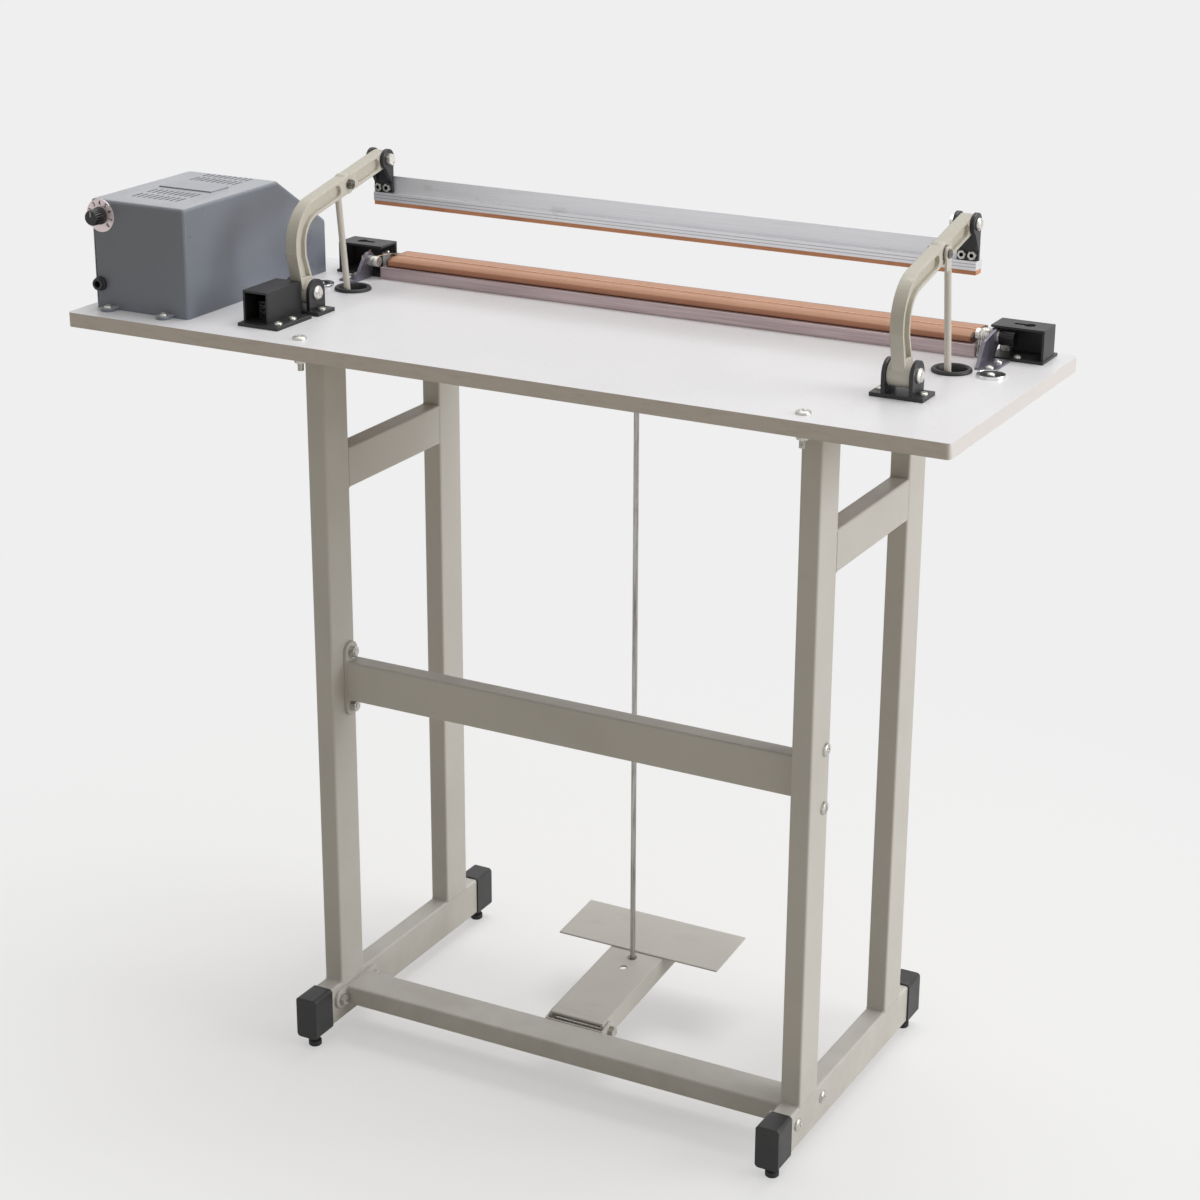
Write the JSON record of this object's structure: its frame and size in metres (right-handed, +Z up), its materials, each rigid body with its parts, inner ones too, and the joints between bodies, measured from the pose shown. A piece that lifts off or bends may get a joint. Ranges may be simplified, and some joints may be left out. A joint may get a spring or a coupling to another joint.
{
  "type": "bag sealer and cutter",
  "caption": "Pedal-operated impulse bag sealer and cutter: swinging upper jaw over a heated lower jaw on a laminate table, carried by a tube stand with a treadle and a timer box.",
  "frame": {"origin": "middle of the bounding box on the floor, under the table's middle and the stand's centre line", "axes": "+X along the table away from the control box, +Y toward the operator and the treadle, +Z up"},
  "size_m": [0.851, 0.3282, 0.8171],
  "materials": {
    "stand_paint": "satin warm grey powder coat",
    "arm_paint": "painted casting, satin warm grey",
    "box_paint": "satin blue grey paint",
    "zinc_steel": "zinc plated, semi gloss",
    "dark_steel": "dark passivated sheet",
    "spring_steel": "oiled spring wire",
    "black_paint": "satin black",
    "black_plastic": "fine moulded texture",
    "glide_rubber": "matt",
    "disc_plastic": "smooth",
    "laminate_board": "white laminate on board",
    "transformer_iron": "varnished core and windings",
    "circuit_board": "solder mask",
    "pot_steel": "plated",
    "dial_print": "printed plate",
    "red_plastic": "translucent red",
    "jaw_aluminium": "extruded, satin",
    "base_aluminium": "extruded, tinted anodised",
    "silicone_pad": "brown silicone strip",
    "block_insulation": "heat resistant laminate",
    "heating_alloy": "resistance alloy",
    "glass_cloth": "coated glass cloth, brown"
  },
  "bodies": {
    "stand": {"leg_left_near": "stand_paint", "leg_left_far": "stand_paint", "leg_right_near": "stand_paint", "leg_right_far": "stand_paint", "base_tubes": "stand_paint", "side_rails": "stand_paint", "top_bars": "stand_paint", "cross_tubes": "stand_paint", "end_plates": "stand_paint", "stand_bolts": "zinc_steel", "tube_caps": "black_plastic", "foot_glides": "glide_rubber", "table_top_board": "laminate_board", "table_bolts": "zinc_steel", "rod_grommets": "black_plastic", "table_discs": "disc_plastic", "box_shell": "box_paint", "transformer": "transformer_iron", "timer_board": "circuit_board", "timer_pot": "pot_steel", "dial_plate": "dial_print", "lead_gland": "black_plastic", "switch_frame": "black_plastic", "pilot_lamp": "red_plastic", "hinge_brackets": "black_paint", "hinge_pins": "zinc_steel", "table_screws": "zinc_steel", "switch_housing": "black_plastic", "micro_switch": "black_plastic", "end_housing_left": "black_plastic", "end_housing_right": "black_plastic", "jaw_base": "base_aluminium", "jaw_block": "block_insulation", "sealing_ribbon": "heating_alloy", "cutting_wire": "heating_alloy", "jaw_cloth": "glass_cloth", "terminal_brackets": "dark_steel", "terminal_clamps": "zinc_steel", "pedal_bracket": "stand_paint", "pedal_pin": "zinc_steel"},
    "press_arms": {"arm_left": "arm_paint", "arm_right": "arm_paint", "rod_pins": "zinc_steel", "tip_bolts": "zinc_steel", "hub_springs": "spring_steel"},
    "upper_jaw": {"jaw_bar": "jaw_aluminium", "jaw_pad": "silicone_pad", "tip_brackets": "black_paint", "jaw_bolts": "zinc_steel"},
    "pull_frame": {"pull_rods": "zinc_steel", "yoke_bar": "zinc_steel", "yoke_pin": "zinc_steel", "rod_nuts": "zinc_steel"},
    "drop_rod": {"centre_rod": "zinc_steel", "rod_end_nut": "zinc_steel"},
    "pedal": {"pedal_arm": "stand_paint", "treadle": "stand_paint"},
    "timer_dial": {"timer_knob": "black_plastic"},
    "power_switch": {"rocker": "red_plastic"},
    "tension_screw": {"tension_knob": "black_plastic"}
  },
  "joints": [
    {"name": "arms_swing", "type": "hinge", "parent": "stand", "child": "press_arms", "pos_m": [0.05, -0.049, 0.7085], "axis": [-1, 0, 0], "range_deg": [0, 21], "stiffness_Nm_per_rad": 3, "springref_deg": -57.3},
    {"name": "jaw_hang", "type": "hinge", "parent": "press_arms", "child": "upper_jaw", "pos_m": [0.05, 0.08205, 0.80758], "axis": [-1, 0, 0], "range_deg": [-25, 5]},
    {"name": "rods_swing", "type": "hinge", "parent": "press_arms", "child": "pull_frame", "pos_m": [0.05, 0.01999, 0.79461], "axis": [-1, 0, 0], "range_deg": [-14, 3]},
    {"name": "drop_rod_swing", "type": "hinge", "parent": "pull_frame", "child": "drop_rod", "pos_m": [0.0525, 0.041, 0.628], "axis": [-1, 0, 0], "range_deg": [-11, 3]},
    {"name": "pedal_press", "type": "hinge", "parent": "stand", "child": "pedal", "pos_m": [0.0525, -0.06, 0.042], "axis": [-1, 0, 0], "range_deg": [0, 19]},
    {"name": "timer_turn", "type": "hinge", "parent": "stand", "child": "timer_dial", "pos_m": [-0.404, -0.14, 0.7755], "axis": [0, -1, 0], "range_deg": [0, 300]},
    {"name": "power_rock", "type": "hinge", "parent": "stand", "child": "power_switch", "pos_m": [-0.342, 0.0539, 0.76604], "axis": [-1, 0, 0], "range_deg": [0, 14]},
    {"name": "tension_turn", "type": "hinge", "parent": "stand", "child": "tension_screw", "pos_m": [0.377, 0.103, 0.7085], "axis": [1, 0, 0], "continuous": true}
  ],
  "couplings": [
    {"joint": "jaw_hang", "follows": "arms_swing", "ratio": -1},
    {"joint": "rods_swing", "follows": "arms_swing", "ratio": -0.5722},
    {"joint": "drop_rod_swing", "follows": "arms_swing", "ratio": -0.4278},
    {"joint": "pedal_press", "follows": "arms_swing", "ratio": 0.826}
  ]
}
